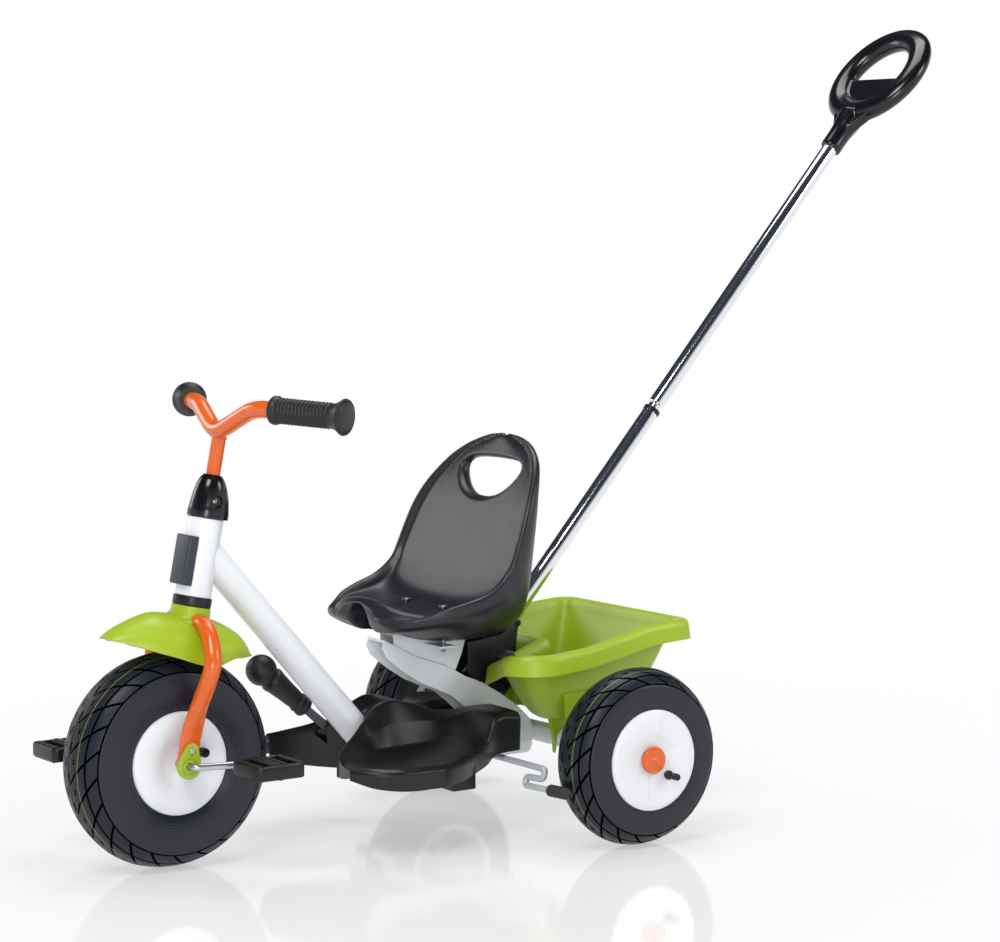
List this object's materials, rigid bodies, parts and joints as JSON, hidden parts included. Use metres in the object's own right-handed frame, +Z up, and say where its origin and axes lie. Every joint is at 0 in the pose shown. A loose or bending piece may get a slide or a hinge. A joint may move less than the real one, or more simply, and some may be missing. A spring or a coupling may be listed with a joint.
{
  "type": "tricycle",
  "caption": "Child's pedal tricycle with a moulded seat, footrest, hand brake, tipping rear bucket and telescopic push bar.",
  "frame": {"origin": "middle of the length and the width, on the ground", "axes": "+X forward to the front wheel, +Y to the rider's left, +Z up"},
  "size_m": [1.3061, 0.5614, 1.0228],
  "materials": {
    "white_paint": "gloss",
    "white_plastic": "gloss",
    "orange_paint": "gloss",
    "lime_plastic": "satin",
    "black_plastic": "fine grain",
    "seat_plastic": "satin",
    "dark_grey_plastic": "matte",
    "chrome": "polished",
    "zinc_steel": "zinc plated",
    "tyre_rubber": "matte",
    "soft_rubber": "matte"
  },
  "bodies": {
    "frame": {"head_tube": "white_paint", "main_tube": "white_paint", "seat_beam": "white_paint", "seat_support": "white_paint", "rear_axle_tube": "white_paint", "rear_axle": "zinc_steel", "hub_cap_left": "orange_paint", "hub_cap_right": "orange_paint", "lower_head_bearing": "black_plastic", "upper_head_bearing": "black_plastic", "head_block": "dark_grey_plastic", "push_bar_bracket": "black_plastic", "seat": "seat_plastic", "seat_screw_left": "zinc_steel", "seat_screw_right": "zinc_steel", "footrest_left": "black_plastic", "footrest_right": "black_plastic", "brake_pivot_pin": "zinc_steel"},
    "steering": {"fork": "orange_paint", "handlebar": "orange_paint", "grip_left": "black_plastic", "grip_right": "black_plastic", "fender": "lime_plastic", "headset_cap": "black_plastic", "clamp_screw": "zinc_steel", "fork_bearing_left": "lime_plastic", "fork_bearing_right": "lime_plastic", "fork_screw_left": "zinc_steel", "fork_screw_right": "zinc_steel"},
    "front_wheel": {"front_tyre": "tyre_rubber", "front_inner_tube": "soft_rubber", "front_rim_left": "white_plastic", "front_rim_right": "white_plastic", "crank_axle": "zinc_steel", "front_valve_cap": "black_plastic"},
    "left_pedal": {"pedal_left": "black_plastic"},
    "right_pedal": {"pedal_right": "black_plastic"},
    "left_rear_wheel": {"rear_tyre_left": "tyre_rubber", "rear_inner_tube_left": "soft_rubber", "rear_rim_left": "white_plastic", "rear_valve_cap_left": "black_plastic"},
    "right_rear_wheel": {"rear_tyre_right": "tyre_rubber", "rear_inner_tube_right": "soft_rubber", "rear_rim_right": "white_plastic", "rear_valve_cap_right": "black_plastic"},
    "brake_lever": {"brake_lever": "zinc_steel", "brake_grip": "black_plastic"},
    "brake_link": {"brake_rod": "zinc_steel"},
    "brake_wire": {"brake_bar": "zinc_steel", "brake_pad_left": "soft_rubber", "brake_pad_right": "soft_rubber"},
    "bucket": {"bucket": "lime_plastic", "latch_knob": "dark_grey_plastic"},
    "lower_push_bar": {"push_bar_lower": "chrome", "push_bar_pin": "black_plastic", "push_bar_sleeve": "black_plastic"},
    "upper_push_bar": {"push_bar_upper": "chrome", "push_handle": "black_plastic"}
  },
  "joints": [
    {"name": "steering_turn", "type": "hinge", "parent": "frame", "child": "steering", "pos_m": [0.47321, 0, 0.37498], "axis": [-0.1994, 0, 0.9799], "range_deg": [-35, 35]},
    {"name": "front_wheel_spin", "type": "hinge", "parent": "steering", "child": "front_wheel", "pos_m": [0.52305, 0, 0.13], "axis": [0, 1, 0], "continuous": true},
    {"name": "left_pedal_spin", "type": "hinge", "parent": "front_wheel", "child": "left_pedal", "pos_m": [0.45305, 0.12425, 0.13], "axis": [0, 1, 0], "continuous": true},
    {"name": "right_pedal_spin", "type": "hinge", "parent": "front_wheel", "child": "right_pedal", "pos_m": [0.59305, -0.12425, 0.13], "axis": [0, 1, 0], "continuous": true},
    {"name": "left_rear_wheel_spin", "type": "hinge", "parent": "frame", "child": "left_rear_wheel", "pos_m": [-0.00895, 0.2257, 0.1099], "axis": [0, 1, 0], "continuous": true},
    {"name": "right_rear_wheel_spin", "type": "hinge", "parent": "frame", "child": "right_rear_wheel", "pos_m": [-0.00895, -0.2257, 0.1099], "axis": [0, 1, 0], "continuous": true},
    {"name": "brake_lever_pull", "type": "hinge", "parent": "frame", "child": "brake_lever", "pos_m": [0.25105, -0.04, 0.115], "axis": [0, -1, 0], "range_deg": [0, 14]},
    {"name": "brake_link_swing", "type": "hinge", "parent": "brake_lever", "child": "brake_link", "pos_m": [0.24388, -0.04, 0.10877], "axis": [0, -1, 0], "range_deg": [-14.2, 0]},
    {"name": "brake_wire_turn", "type": "hinge", "parent": "frame", "child": "brake_wire", "pos_m": [0.09905, 0, 0.0985], "axis": [0, 1, 0], "range_deg": [0, 7]},
    {"name": "bucket_tip", "type": "hinge", "parent": "frame", "child": "bucket", "pos_m": [-0.00895, 0, 0.1099], "axis": [0, -1, 0], "range_deg": [0, 50]},
    {"name": "push_bar_release", "type": "slide", "parent": "frame", "child": "lower_push_bar", "axis": [-0.6624, 0, 0.7492], "range_m": [0, 0.08]},
    {"name": "push_bar_extend", "type": "slide", "parent": "lower_push_bar", "child": "upper_push_bar", "axis": [-0.6624, 0, 0.7492], "range_m": [0, 0.07]}
  ],
  "couplings": [
    {"joint": "brake_wire_turn", "follows": "brake_lever_pull", "ratio": 0.485},
    {"joint": "brake_link_swing", "follows": "brake_lever_pull", "ratio": -1.008}
  ]
}
